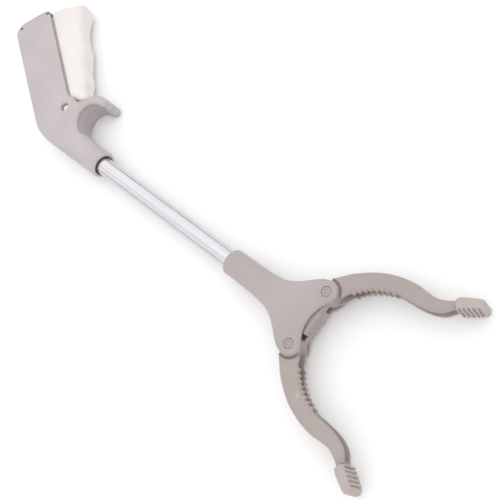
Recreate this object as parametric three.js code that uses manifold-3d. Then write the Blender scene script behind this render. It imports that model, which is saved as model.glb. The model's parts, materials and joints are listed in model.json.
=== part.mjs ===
// Reacher grabber: pistol handle with a squeeze trigger, aluminium shaft, Y-shaped head and two jaws.
//
// Everything is drawn in the mechanism frame, in millimetres: +X runs along the shaft to the jaws,
// +Y points to the side that the grip leans to, and Z is zero in the mechanism's middle plane.
// The finished group is then stood on Z = 0 with its origin under the centre of its box.

import * as THREE from "three";
import { mergeVertices } from "three/addons/utils/BufferGeometryUtils.js";
import Module from "manifold-3d";

const wasm = await Module();
wasm.setup();

// ---------------------------------------------------------------- driving dimensions

const GAP = 0.3; // between pieces that touch

const TUBE = { radius: 6.35, wall: 1.0, start: -157, end: 13 };
const BORE_RADIUS = TUBE.radius + GAP;

const HANDLE = {
  half: 10.3, // half thickness
  inner: 8.1, // half width of the cavity
  floor: -9.6, // lower line of the neck
  top: 9.8, // upper line of the neck
  neckEnd: -162, // where the grip outline ends, inside the round neck
  socketEnd: -141,
  socketRadius: 9.8,
  mouthRadius: 8.05, // the socket widens at its mouth
  endRadius: 118.2, // end of the grip, about the trigger hinge
  end: 12, // half depth that reaches past both faces
};
const GRIP_BACK = [-214.4, -3.1]; // where the neck turns into the grip's back
const GRIP_FRONT = { near: [-204.7, 27.9], far: [-272.9, 72.0] }; // the straight front edge
const CLIP = { x: -170.3, y: 21.8, inner: 11.1, outer: 18.2 };
const STOP_PIN = { x: -197.1, y: 17.8, radius: 2.9, boss: 4.3, half: 7.8 };
const CORNER_HOLES = [{ x: -285.1, y: 48.0 }, { x: -271.3, y: 69.0 }];

const HINGE = { x: -184, y: -4.4, pinRadius: 1.6, eyeRadius: 3.2 };
const TRIGGER = { half: 7.8, cheek: 5.3, endRadius: 115.2, swing: 0.235 };

const ROD_RADIUS = 1.5;
const ROD_PASSAGE = 2.7;
const ROD_TRAVEL = 12.0;
const YOKE_PIN = { x: -212, y: 18, radius: 1.5, half: 7.6 };
const SLOT_PLAY = 0.35; // a pin in its slot
const SPRING = { start: TUBE.start + 15.5, end: TUBE.start + 48, radius: 4.0, wire: 0.5, turns: 9 };

const PIVOT = { x: 65, y: 18.9, radius: 2.2, headRadius: 3.3 };
const HEAD = { half: 9, inner: 6.9, socketEnd: -6.5, socketRadius: 8.8, lobe: 7.3 };
const JAW = { half: 6.4, wall: 2.2, web: 2.6, hub: 6.6, close: 0.602 }; // close: radians to shut
const RIBBED_FACE = [[135.8, 52.0], [148.0, 59.85]]; // a pad's gripping face, from its root to its tip
const GROOVE = { first: 1.05, pitch: 2.7, width: 1.1, depth: 0.9, count: 5 };
const TONGUE_HALF = 4.2; // the jaw's tip inside its pad
const PAD = { half: 9.6, sleeve: 4.6 };
const LEVER = { low: 2.4, high: 6.2, frontLow: 0.15, front: 68.9 }; // a jaw's lever, beside the mid-plane
const CROSS_PIN = { x: 62.9, radius: 1.5, half: 6.4 };

// Screws, all driven from the underside: place, head and shank radius, bottom and top of the screw.
const NECK_SCREW = { x: -174.6, y: 5.6, head: 2.2, shank: 1.0, bottom: -9.9, top: 6.0 };
const HANDLE_TUBE_SCREW = { x: -149.5, y: 0, head: 2.3, shank: 1.2, bottom: -9.5, top: -2.4 };
const HEAD_TUBE_SCREW = { x: 5, y: 0, head: 2.3, shank: 1.2, bottom: -8.6, top: -2.4 };
const HEAD_SCREW = { x: 20.5, y: 5.2, head: 2.1, shank: 0.9, bottom: -6.4, top: 4.4 };

// ---------------------------------------------------------------- materials

function plastic(color, roughness = 0.55) {
  return new THREE.MeshStandardMaterial({ color, roughness, metalness: 0 });
}

function metal(color, roughness = 0.35) {
  return new THREE.MeshStandardMaterial({ color, roughness, metalness: 1 });
}

const handleGrey = () => plastic(0xcbc2c2);
const headGrey = () => plastic(0xbfb5b3);
const jawGrey = () => plastic(0xb5aba8);
const padGrey = () => plastic(0xb1a6a3, 0.75);
const ivory = () => plastic(0xf3efea, 0.45);
const aluminium = () => metal(0xd9d9dc, 0.3);
const steel = () => metal(0xa9abb0);
const brass = () => metal(0xc9a95c);
const nylon = () => plastic(0xe4e2dc, 0.5);

// ---------------------------------------------------------------- solid helpers

function toSolid(geometry) {
  const bare = geometry.clone();
  bare.deleteAttribute("normal");
  bare.deleteAttribute("uv");
  const merged = mergeVertices(bare, 1e-4);
  const vertProperties = new Float32Array(merged.attributes.position.array);
  const triVerts = new Uint32Array(merged.index.array);
  return new wasm.Manifold(new wasm.Mesh({ numProp: 3, vertProperties, triVerts }));
}

function toMesh(name, solid, material) {
  const { vertProperties, triVerts } = solid.getMesh();
  const geometry = new THREE.BufferGeometry();
  geometry.setAttribute("position", new THREE.BufferAttribute(new Float32Array(vertProperties), 3));
  geometry.setIndex(new THREE.BufferAttribute(new Uint32Array(triVerts), 1));
  geometry.computeVertexNormals();
  const mesh = new THREE.Mesh(geometry, material);
  mesh.name = name;
  return mesh;
}

function extrude(shape, low, high, { bevel = 0, segments = 2, curveSegments = 10 } = {}) {
  const geometry = new THREE.ExtrudeGeometry(shape, {
    depth: high - low - 2 * bevel,
    bevelEnabled: bevel > 0,
    bevelThickness: bevel,
    bevelSize: bevel,
    bevelOffset: -bevel,
    bevelSegments: segments,
    curveSegments,
    steps: 1,
  });
  geometry.translate(0, 0, low + bevel);
  return toSolid(geometry);
}

function cylinderZ(x, y, radius, low, high, segments = 24) {
  const geometry = new THREE.CylinderGeometry(radius, radius, high - low, segments);
  geometry.rotateX(Math.PI / 2);
  geometry.translate(x, y, (low + high) / 2);
  return toSolid(geometry);
}

const postZ = ({ x, y }, radius, low, high, segments = 24) => cylinderZ(x, y, radius, low, high, segments);

function turnedX(profile, segments = 32) {
  const points = profile.map(([x, radius]) => new THREE.Vector2(radius, x));
  const geometry = new THREE.LatheGeometry(points, segments);
  geometry.rotateZ(-Math.PI / 2);
  return toSolid(geometry);
}

function turnedZ(x, y, profile, segments = 24) {
  const points = profile.map(([z, radius]) => new THREE.Vector2(radius, z));
  const geometry = new THREE.LatheGeometry(points, segments);
  geometry.rotateX(Math.PI / 2);
  geometry.translate(x, y, 0);
  return toSolid(geometry);
}

const cylinderX = (radius, low, high, segments = 32) =>
  turnedX([[low, 0], [low, radius], [high, radius], [high, 0]], segments);

function box(lowCorner, highCorner) {
  const size = highCorner.map((value, i) => value - lowCorner[i]);
  const geometry = new THREE.BoxGeometry(...size);
  geometry.translate(...highCorner.map((value, i) => (value + lowCorner[i]) / 2));
  return toSolid(geometry);
}

const vectors = (points) => points.map(([x, y]) => new THREE.Vector2(x, y));
const polygon = (points) => new THREE.Shape(vectors(points));

function spline(points, count) {
  return new THREE.SplineCurve(vectors(points)).getPoints(count).map((p) => [p.x, p.y]);
}

function arc(x, y, radius, from, to, count) {
  return Array.from({ length: count + 1 }, (_, i) => {
    const angle = THREE.MathUtils.degToRad(from + ((to - from) * i) / count);
    return [x + radius * Math.cos(angle), y + radius * Math.sin(angle)];
  });
}

function turned([x, y], centre, angle) {
  const [dx, dy] = [x - centre.x, y - centre.y];
  const [c, s] = [Math.cos(angle), Math.sin(angle)];
  return [centre.x + c * dx - s * dy, centre.y + s * dx + c * dy];
}

const angleFrom = (centre, [x, y]) => THREE.MathUtils.radToDeg(Math.atan2(y - centre.y, x - centre.x));

// A slot is the joined discs along a path.
function slotZ(path, radius, low, high) {
  const discs = path.map(([x, y]) => cylinderZ(x, y, radius, low, high, 16));
  return discs.slice(1).reduce((solid, disc) => solid.add(disc), discs[0]);
}

const mirrored = (points) => points.map(([x, y]) => [x, -y]).reverse();
const splitUpper = (solid) => solid.intersect(box([-400, -200, GAP / 2], [300, 200, 50]));
const splitLower = (solid) => solid.intersect(box([-400, -200, -50], [300, 200, -GAP / 2]));

// ---------------------------------------------------------------- handle

function gripOutline() {
  const endArc = arc(HINGE.x, HINGE.y, HANDLE.endRadius, angleFrom(HINGE, GRIP_FRONT.far), 150.5, 8);
  const elbow = [GRIP_BACK, [-205.4, -7.4], [-191.5, HANDLE.floor]];
  return [
    [HANDLE.neckEnd, HANDLE.floor],
    ...spline(elbow.reverse(), 8),
    ...spline([[-284.5, 39.8], [-288.4, 44.0], [-288.6, 49.5], [-287.2, 54.3]], 6),
    ...endArc.reverse().slice(1),
    GRIP_FRONT.near,
    [-202.0, 26.7],
    [-190.4, 26.4],
    ...arc(CLIP.x, CLIP.y, CLIP.outer, 158, 84, 10),
    ...arc(CLIP.x, CLIP.y, CLIP.inner, 82, 268, 20),
    [-164, HANDLE.top],
    [HANDLE.neckEnd, HANDLE.top],
  ];
}

function backWallInside() {
  return [
    [-178, -8.0],
    [-192, -8.0],
    [-204.5, -5.3],
    [-213.2, -1.2],
    [-280.5, 40.0],
    [-284.4, 44.4],
    [-284.9, 49.5],
    ...arc(HINGE.x, HINGE.y, HANDLE.endRadius - 2.4, 150.6, 137, 5),
  ];
}

function cavityOutline() {
  return [
    ...backWallInside(),
    [-262, 84],
    [-200, 46],
    [-190.6, 31.5],
    [-190.6, 26.4],
    ...arc(CLIP.x, CLIP.y, CLIP.inner + 2.6, 164, 232, 5),
    [-174, 7.6],
    [-160, 7.6],
    [-160, -7.4],
  ];
}

function handleBody() {
  const half = HANDLE.half;
  const { socketEnd, socketRadius, mouthRadius, end } = HANDLE;
  let body = extrude(polygon(gripOutline()), -half, half, { bevel: 1.4 });
  body = body.add(turnedX([
    [-172, 0], [-172, 7.8], [-163, socketRadius], [socketEnd - 1.6, socketRadius],
    [socketEnd, socketRadius - 1.4], [socketEnd, 0],
  ], 40));
  body = body.subtract(extrude(polygon(cavityOutline()), -HANDLE.inner, HANDLE.inner));
  const boss = HANDLE.inner + 0.4;
  body = body.add(postZ(STOP_PIN, STOP_PIN.boss, -boss, boss));
  body = body.add(postZ(NECK_SCREW, 2.6, -boss, boss));
  body = body.subtract(postZ(STOP_PIN, STOP_PIN.radius + GAP, -end, end));
  body = body.subtract(cylinderX(BORE_RADIUS, TUBE.start - 0.6, socketEnd + 5));
  body = body.subtract(cylinderX(mouthRadius, socketEnd - 2.6, socketEnd + 5));
  body = body.subtract(cylinderX(ROD_PASSAGE, TUBE.start - 8, TUBE.start, 20));
  body = body.subtract(postZ(HINGE, HINGE.pinRadius + GAP, -9.3, 9.3));
  return CORNER_HOLES.reduce((solid, hole) => solid.subtract(postZ(hole, 0.9, 8.6, end, 12)), body);
}

// Room for a screw in a lower shell: its shank's hole, and a recess for its head up to a height.
function screwRoom(screw, top, seat, clearance = GAP) {
  const shank = postZ(screw, screw.shank + clearance, -HANDLE.end, top);
  return shank.add(postZ(screw, screw.head + clearance, -HANDLE.end, seat));
}

function handleParts() {
  const body = handleBody();
  const lower = splitLower(body)
    .subtract(screwRoom(NECK_SCREW, 1, -8.7))
    .subtract(screwRoom(HANDLE_TUBE_SCREW, -6, -8.3));
  const upper = splitUpper(body).subtract(postZ(NECK_SCREW, NECK_SCREW.shank + GAP, -1, 6.3));
  return [
    toMesh("handle_shell_upper", upper, handleGrey()),
    toMesh("handle_shell_lower", lower, handleGrey()),
    toMesh("neck_screw", screwFromBelow(NECK_SCREW), steel()),
    toMesh("handle_tube_screw", screwFromBelow(HANDLE_TUBE_SCREW), steel()),
    toMesh("stop_pin", postZ(STOP_PIN, STOP_PIN.radius, -STOP_PIN.half, STOP_PIN.half, 28), nylon()),
  ];
}

// A pan-head screw with a plain cross slot in its head.
function screwFromBelow({ x, y, head, shank, bottom, top }) {
  const seat = bottom + 0.9;
  const solid = turnedZ(x, y, [[bottom, 0], [bottom, head - 0.3], [bottom + 0.3, head],
    [seat, head], [seat, shank], [top - 0.6, shank], [top, 0]], 20);
  const slot = box([x - 1.3, y - 0.3, bottom - 1], [x + 1.3, y + 0.3, bottom + 0.5]);
  const cross = box([x - 0.3, y - 1.3, bottom - 1], [x + 0.3, y + 1.3, bottom + 0.5]);
  return solid.subtract(slot).subtract(cross);
}

// ---------------------------------------------------------------- trigger

// Where the yoke pin lies in the trigger as the trigger swings in and the rod is drawn back.
function yokePinPath(count) {
  return Array.from({ length: count + 1 }, (_, i) => {
    const part = i / count;
    const pin = [YOKE_PIN.x - ROD_TRAVEL * part, YOKE_PIN.y];
    return turned(pin, HINGE, -TRIGGER.swing * part);
  });
}

function triggerOutline() {
  const clearance = 0.63;
  const swung = backWallInside().slice(1, 5).map((point) => turned(point, HINGE, -TRIGGER.swing));
  const rear = swung.map(([x, y]) => [x + clearance, y + clearance]);
  const rearTop = [[-269.2, 66.8], [-268.9, 71.2]];
  const nose = [[-249.4, 91.0], [-246.2, 89.6], [-243.3, 85.2]];
  const grooves = [[-243.3, 85.2], [-237.8, 76.8], [-230.2, 69.3], [-220.3, 63.1], [-213, 55.8],
    [-207.4, 49.7], [-199.4, 43.6], [-195.6, 38.4]];
  const bossTop = turned([STOP_PIN.x, STOP_PIN.y], HINGE, -TRIGGER.swing)[1];
  return [
    [HINGE.x, HINGE.y - HINGE.eyeRadius],
    ...rear,
    ...rearTop,
    ...arc(HINGE.x, HINGE.y, TRIGGER.endRadius, 137, 126.2, 6),
    ...nose,
    ...spline(grooves, 20).slice(1),
    ...arc(CLIP.x, CLIP.y, CLIP.outer + 0.7, 144, 158, 3),
    [-191.6, bossTop + 6.4],
    [-197.5, bossTop + 5.4],
    ...arc(STOP_PIN.x, STOP_PIN.y, STOP_PIN.boss + 0.8, 110, 265, 6),
    [-191, 9.5],
    ...arc(HINGE.x, HINGE.y, HINGE.eyeRadius, 60, -80, 5),
  ];
}

function triggerHollow() {
  return [
    [-170, -20],
    [-290, -20],
    [-290, 55],
    [-268, 66],
    ...arc(HINGE.x, HINGE.y, TRIGGER.endRadius - 2.4, 136.5, 127.6, 5),
    [-240.4, 75.4], [-232.2, 67.4], [-222.4, 60.8], [-209.8, 48.0], [-199.4, 37.0], [-196.5, 29],
    [-170, 29],
  ];
}

function triggerParts() {
  let solid = extrude(polygon(triggerOutline()), -TRIGGER.half, TRIGGER.half, { bevel: 0.8, segments: 1 });
  solid = solid.subtract(extrude(polygon(triggerHollow()), -TRIGGER.cheek, TRIGGER.cheek));
  solid = solid.subtract(slotZ(yokePinPath(8), YOKE_PIN.radius + SLOT_PLAY, -HANDLE.end, HANDLE.end));
  solid = solid.subtract(postZ(HINGE, HINGE.pinRadius + GAP, -HANDLE.end, HANDLE.end));
  return [
    toMesh("trigger", solid, ivory()),
    toMesh("trigger_hinge_pin", postZ(HINGE, HINGE.pinRadius, -9, 9), steel()),
  ];
}

// ---------------------------------------------------------------- shaft and rod

function shaftParts() {
  const tube = cylinderX(TUBE.radius, TUBE.start, TUBE.end)
    .subtract(cylinderX(TUBE.radius - TUBE.wall, TUBE.start - 1, TUBE.end + 1))
    .subtract(postZ(HANDLE_TUBE_SCREW, 1.6, -10, 0))
    .subtract(postZ(HEAD_TUBE_SCREW, 1.6, -10, 0));
  return [
    toMesh("shaft_tube", tube, aluminium()),
    toMesh("handle_bush", bush(TUBE.start + 0.5, TUBE.start + 14, HANDLE_TUBE_SCREW), nylon()),
    toMesh("head_bush", bush(TUBE.end - 14, TUBE.end - 0.5, HEAD_TUBE_SCREW), nylon()),
  ];
}

// A plug in the tube that guides the rod and takes the tip of the tube screw.
function bush(low, high, screw) {
  return cylinderX(TUBE.radius - TUBE.wall - GAP, low, high)
    .subtract(cylinderX(ROD_RADIUS + GAP, low - 1, high + 1, 20))
    .subtract(postZ(screw, screw.shank + GAP, -10, screw.top + GAP));
}

// The rod's middle line: straight from the crosshead to the neck, then bent up to the trigger's yoke.
function rodLine() {
  const corners = [[CROSS_PIN.x - 12, 0], [-189, 0], [-206.5, YOKE_PIN.y], [YOKE_PIN.x + 3.4, YOKE_PIN.y]];
  const points = corners.map(([x, y]) => new THREE.Vector3(x, y, 0));
  const bends = [{ into: 5, out: 5 }, { into: 2.4, out: 1.2 }];
  const line = [points[0]];
  bends.forEach(({ into, out }, i) => {
    const [before, corner, after] = points.slice(i, i + 3);
    const start = corner.clone().add(before.clone().sub(corner).setLength(into));
    const stop = corner.clone().add(after.clone().sub(corner).setLength(out));
    line.push(...new THREE.QuadraticBezierCurve3(start, corner, stop).getPoints(5));
  });
  return [...line, points.at(-1)];
}

function pullRod() {
  const line = rodLine();
  const path = new THREE.CurvePath();
  line.slice(1).forEach((point, i) => path.add(new THREE.LineCurve3(line[i], point)));
  path.getPointAt = (u) => line[Math.round(u * (line.length - 1))];
  path.getTangentAt = (u) => {
    const i = Math.round(u * (line.length - 1));
    return line[Math.min(i + 1, line.length - 1)].clone().sub(line[Math.max(i - 1, 0)]).normalize();
  };
  const section = new THREE.Shape(vectors(arc(0, 0, ROD_RADIUS, 0, 330, 11)));
  return toSolid(new THREE.ExtrudeGeometry(section, { steps: line.length - 1, extrudePath: path }));
}

function springCoil() {
  const stepsPerTurn = 12;
  const steps = SPRING.turns * stepsPerTurn;
  const points = Array.from({ length: steps + 1 }, (_, i) => {
    const angle = (i / stepsPerTurn) * 2 * Math.PI;
    const x = SPRING.start + ((SPRING.end - SPRING.start) * i) / steps;
    return new THREE.Vector3(x, SPRING.radius * Math.cos(angle), SPRING.radius * Math.sin(angle));
  });
  const section = new THREE.Shape(vectors(arc(0, 0, SPRING.wire, 0, 300, 5)));
  const path = new THREE.CatmullRomCurve3(points);
  return toSolid(new THREE.ExtrudeGeometry(section, { steps, extrudePath: path }));
}

function yokeSolid() {
  const { x, y, radius } = YOKE_PIN;
  return box([x - 4, y - 3.6, -4.8], [x + 6.5, y + 3.6, 4.8])
    .subtract(postZ(YOKE_PIN, radius + GAP, -10, 10))
    .subtract(box([x + 3.0, y - 5, -1.9], [x + 8, y + 1.9, 1.9]));
}

// The rod's end block: a bar with a round nose that holds the crosshead pin.
function crossheadSolid() {
  const pin = { x: CROSS_PIN.x, y: 0 };
  return box([pin.x - 16, -3.0, -2.0], [pin.x, 3.0, 2.0])
    .add(postZ(pin, 3.0, -2.0, 2.0))
    .subtract(postZ(pin, CROSS_PIN.radius + GAP, -10, 10))
    .subtract(cylinderX(ROD_RADIUS + GAP, pin.x - 20, pin.x - 11.6, 12));
}

function collarSolid() {
  const start = SPRING.end + 0.8;
  return cylinderX(4.6, start, start + 5, 24).subtract(cylinderX(ROD_RADIUS + GAP, start - 1, start + 6, 20));
}

function driveParts() {
  const crossPin = postZ({ x: CROSS_PIN.x, y: 0 }, CROSS_PIN.radius, -CROSS_PIN.half, CROSS_PIN.half, 20);
  return [
    toMesh("pull_rod", pullRod(), steel()),
    toMesh("rod_yoke", yokeSolid(), nylon()),
    toMesh("rod_yoke_pin", postZ(YOKE_PIN, YOKE_PIN.radius, -YOKE_PIN.half, YOKE_PIN.half, 20), steel()),
    toMesh("spring_collar", collarSolid(), brass()),
    toMesh("return_spring", springCoil(), steel()),
    toMesh("crosshead", crossheadSolid(), nylon()),
    toMesh("crosshead_pin", crossPin, steel()),
  ];
}

// ---------------------------------------------------------------- head

function headOutline() {
  const flank = spline([[22, 8.9], [31, 9.5], [38.5, 10.8], [46, 14.7], [53, 20.3],
    [58.4, 24.2], [61.9, 25.5]], 14);
  const half = [
    ...flank,
    ...arc(PIVOT.x, PIVOT.y, HEAD.lobe, 112, -29, 12),
    ...arc(89.7, 0, 23.8, 147, 180, 5).slice(0, -1),
  ];
  return [...half, [65.9, 0], ...mirrored(half)];
}

function headCavity() {
  const half = [[24, 5.2], [31, 6.9], [37.5, 8.3], [44.8, 12.2], [51.6, 17.8], [56.8, 21.8],
    [56.8, 36], [90, 36]];
  return [...half, ...mirrored(half)];
}

function headBody() {
  let body = extrude(polygon(headOutline()), -HEAD.half, HEAD.half, { bevel: 1.2 });
  body = body.add(turnedX([
    [HEAD.socketEnd, 0], [HEAD.socketEnd, HEAD.socketRadius - 1.4], [HEAD.socketEnd + 1.6, HEAD.socketRadius],
    [26, HEAD.socketRadius], [34, 6.5], [34, 0],
  ], 40));
  body = body.subtract(extrude(polygon(headCavity()), -HEAD.inner, HEAD.inner));
  body = body.subtract(cylinderX(BORE_RADIUS, HEAD.socketEnd - 5, TUBE.end + 0.6));
  body = body.subtract(cylinderX(ROD_PASSAGE, 0, 40, 20));
  const end = HANDLE.end;
  for (const side of [-1, 1]) {
    const pivot = { x: PIVOT.x, y: side * PIVOT.y };
    body = body.subtract(postZ(pivot, PIVOT.radius + GAP, -end, end));
    body = body.subtract(postZ(pivot, PIVOT.headRadius + GAP, 8.0, end));
    body = body.subtract(postZ(pivot, PIVOT.headRadius + GAP, -end, -8.0));
  }
  return body;
}

function headParts() {
  const body = headBody();
  const lower = splitLower(body)
    .subtract(screwRoom(HEAD_TUBE_SCREW, -6, -7.4))
    .subtract(screwRoom(HEAD_SCREW, 1, -5.2));
  const upper = splitUpper(body).subtract(postZ(HEAD_SCREW, HEAD_SCREW.shank + GAP, -1, 4.8));
  return [
    toMesh("head_shell_upper", upper, headGrey()),
    toMesh("head_shell_lower", lower, headGrey()),
    toMesh("head_tube_screw", screwFromBelow(HEAD_TUBE_SCREW), steel()),
    toMesh("head_screw", screwFromBelow(HEAD_SCREW), steel()),
  ];
}

function pivotPin(side) {
  const { radius, headRadius } = PIVOT;
  const dish = 0.5;
  return turnedZ(PIVOT.x, side * PIVOT.y, [
    [-8.9, 0], [-8.9, headRadius - 0.4], [-8.5, headRadius], [-8.25, headRadius],
    [-8.25, radius], [8.25, radius], [8.25, headRadius], [8.6, headRadius],
    [8.95, headRadius - 0.4], [8.95, 0.9], [8.95 - dish, 0],
  ], 28);
}

// ---------------------------------------------------------------- jaws

// Saw teeth from one point to another along a gentle arc, each rising away from the jaw.
function toothLine(count) {
  const base = new THREE.SplineCurve(vectors([[77.0, 26.2], [82.6, 32.4], [90.0, 37.6], [99.2, 41.5]]));
  const points = [];
  for (let i = 0; i < count; i += 1) {
    const root = base.getPointAt(i / count);
    const tip = base.getPointAt((i + 0.62) / count);
    const tangent = base.getTangentAt((i + 0.62) / count);
    points.push([root.x, root.y]);
    points.push([tip.x + 1.5 * tangent.y, tip.y - 1.5 * tangent.x]);
  }
  return points;
}

const JAW_OUTER = [[62.4, 26.6], [67.5, 31.4], [72.4, 36.4], [80, 42.5], [88.2, 47.2], [98, 50.6],
  [107.5, 52.2], [115, 51.9], [120.5, 51.7], [125.4, 53.1], [131.4, 56.4], [137.5, 60.2], [143.8, 63.2]];
const JAW_INNER = [[100.6, 41.3], [108.4, 41.7], [116, 42.2], [123, 43.6], [129.3, 46.6], [133.2, 51.0],
  [136.6, 54.9], [140.6, 57.8], [145.6, 60.9]];

function jawOutline() {
  return [
    ...arc(PIVOT.x, PIVOT.y, JAW.hub, 300, 130, 10),
    ...spline(JAW_OUTER, 30),
    ...spline(JAW_INNER, 18).reverse(),
    ...toothLine(8).reverse(),
    [72.2, 18.2],
  ];
}

// The channel inside the jaw, open towards the other jaw.
function jawPocket() {
  const floor = spline(JAW_OUTER.slice(0, 11), 24).map(([x, y], i, all) => {
    const [ax, ay] = all[Math.max(i - 1, 0)];
    const [bx, by] = all[Math.min(i + 1, all.length - 1)];
    const length = Math.hypot(bx - ax, by - ay);
    return [x + (JAW.web * (by - ay)) / length, y - (JAW.web * (bx - ax)) / length];
  });
  const innerSide = [[128, 40], [100, 34], [84, 24], [76, 12]];
  const hubSide = [[70.2, 13.4], [70.4, 22.0]];
  return [...floor.slice(5, -2), ...innerSide, ...hubSide];
}

// A jaw's lever reaches past the shaft's axis, with a straight front edge across the head's mouth.
function leverOutline() {
  const tip = { x: LEVER.front - 4.2, y: -5.2, radius: 4.2 };
  return [
    ...arc(PIVOT.x, PIVOT.y, 5.4, 190, 20, 8),
    [LEVER.front, 14],
    ...arc(tip.x, tip.y, tip.radius, 0, -180, 8),
  ];
}

function leverFrontWall() {
  const [back, front] = [LEVER.front - 1.5, LEVER.front];
  return [[back, 14], [back, -7.6], [front, -6.0], [front, 14]];
}

// Where the crosshead pin lies in the lever as the jaw closes and the pin is drawn back.
function leverSlotPath(count) {
  return Array.from({ length: count + 1 }, (_, i) => {
    const part = i / count;
    return turned([CROSS_PIN.x - ROD_TRAVEL * part, 0], PIVOT, JAW.close * part);
  });
}

// The left jaw; its lever lies above the mid-plane.
function jawSolid() {
  let jaw = extrude(polygon(jawOutline()), -JAW.half, JAW.half, { bevel: 0.6, segments: 1 });
  jaw = jaw.subtract(extrude(polygon(jawPocket()), -JAW.half + JAW.wall, JAW.half - JAW.wall));
  jaw = jaw.add(extrude(polygon(leverOutline()), LEVER.low, LEVER.high));
  jaw = jaw.add(extrude(polygon(leverFrontWall()), LEVER.frontLow, LEVER.high));
  jaw = jaw.subtract(slotZ(leverSlotPath(8), CROSS_PIN.radius + SLOT_PLAY, -10, 10));
  jaw = jaw.subtract(postZ(PIVOT, PIVOT.radius + GAP, -10, 10));
  return jaw.subtract(tipClearance());
}

// The tongue that the pad wraps is thinner than the jaw.
function tipClearance() {
  const root = [[131.9, 60], [132.05, 56.1], [133.25, 53.6], [135.4, 51.6], [136.2, 48]];
  const cut = polygon([...root, [150, 48], [150, 68]]);
  return extrude(cut, TONGUE_HALF, 10).add(extrude(cut, -10, -TONGUE_HALF));
}

function padOutline() {
  return [
    [132.4, 56.2], [133.2, 58.8], [139.4, 62.4], [144.7, 65.0], [147.1, 64.2], [148.6, 61.9],
    ...RIBBED_FACE.toReversed(), [133.6, 53.8],
  ];
}

function padSolid() {
  let pad = extrude(polygon(padOutline()), -PAD.half, PAD.half, { bevel: 1.2 });
  const sleeveInner = [[133.0, 50.0], [136.7, 54.5], [140.8, 57.4], [146.2, 60.8]];
  const sleeve = polygon([...sleeveInner, [144.1, 63.7], [137.4, 60.7], [131, 57.2], [131, 50]]);
  pad = pad.subtract(extrude(sleeve, -PAD.sleeve, PAD.sleeve));
  const [[ax, ay], [bx, by]] = RIBBED_FACE;
  const turn = (Math.atan2(by - ay, bx - ax) * 180) / Math.PI;
  for (let i = 0; i < GROOVE.count; i += 1) {
    const along = GROOVE.first + GROOVE.pitch * i;
    const groove = box([along, -GROOVE.depth, -HANDLE.end], [along + GROOVE.width, GROOVE.depth, HANDLE.end]);
    pad = pad.subtract(groove.rotate([0, 0, turn]).translate([ax, ay, 0]));
  }
  return pad;
}

// The right jaw is the left one turned over about the shaft, so its lever lies below the mid-plane.
const turnedOver = (solid) => solid.rotate([180, 0, 0]);

function jawParts() {
  return [
    toMesh("jaw_left", jawSolid(), jawGrey()),
    toMesh("jaw_right", turnedOver(jawSolid()), jawGrey()),
    toMesh("jaw_pad_left", padSolid(), padGrey()),
    toMesh("jaw_pad_right", turnedOver(padSolid()), padGrey()),
    toMesh("jaw_pivot_left", pivotPin(1), headGrey()),
    toMesh("jaw_pivot_right", pivotPin(-1), headGrey()),
  ];
}

// ---------------------------------------------------------------- assembly

const assembly = new THREE.Group();
assembly.add(...handleParts(), ...triggerParts(), ...shaftParts());
assembly.add(...driveParts(), ...headParts(), ...jawParts());

const bounds = new THREE.Box3().setFromObject(assembly);
const centre = bounds.getCenter(new THREE.Vector3());
assembly.position.set(-centre.x, -centre.y, -bounds.min.z);
assembly.updateMatrixWorld(true);

const reacher = new THREE.Group();
reacher.add(assembly);

export default reacher;
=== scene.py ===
import json
import math

import bmesh
import bpy
import numpy as np
from mathutils import Matrix, Vector


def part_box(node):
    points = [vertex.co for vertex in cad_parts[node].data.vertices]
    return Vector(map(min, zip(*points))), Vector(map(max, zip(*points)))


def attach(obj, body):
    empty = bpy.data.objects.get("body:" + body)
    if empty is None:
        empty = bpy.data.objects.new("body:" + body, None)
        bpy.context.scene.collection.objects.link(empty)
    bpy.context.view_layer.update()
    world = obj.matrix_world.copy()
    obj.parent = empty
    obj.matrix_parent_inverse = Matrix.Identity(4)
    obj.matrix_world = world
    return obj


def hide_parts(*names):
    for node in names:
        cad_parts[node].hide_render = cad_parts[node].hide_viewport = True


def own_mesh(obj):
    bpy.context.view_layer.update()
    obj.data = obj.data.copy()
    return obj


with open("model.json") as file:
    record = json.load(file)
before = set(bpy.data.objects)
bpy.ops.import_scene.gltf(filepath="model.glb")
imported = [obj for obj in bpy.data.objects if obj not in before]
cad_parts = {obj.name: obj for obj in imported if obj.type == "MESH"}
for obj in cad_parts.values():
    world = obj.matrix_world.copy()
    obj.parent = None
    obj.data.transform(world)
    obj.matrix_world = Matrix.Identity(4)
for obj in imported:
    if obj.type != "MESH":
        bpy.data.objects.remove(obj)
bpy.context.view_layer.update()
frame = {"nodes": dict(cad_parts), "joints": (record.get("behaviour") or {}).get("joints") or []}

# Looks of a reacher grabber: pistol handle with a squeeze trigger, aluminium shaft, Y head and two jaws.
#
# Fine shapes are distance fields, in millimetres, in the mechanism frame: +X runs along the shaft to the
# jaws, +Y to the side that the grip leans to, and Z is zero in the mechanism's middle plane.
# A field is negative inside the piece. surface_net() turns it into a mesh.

MM = 0.001


def middle(node):
    low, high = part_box(node)
    return (low + high) / 2


def joint_place(name):
    return Vector(next(j["pos_m"] for j in frame["joints"] if j["name"] == name))


# ---------------------------------------------------------------- driving dimensions

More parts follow.
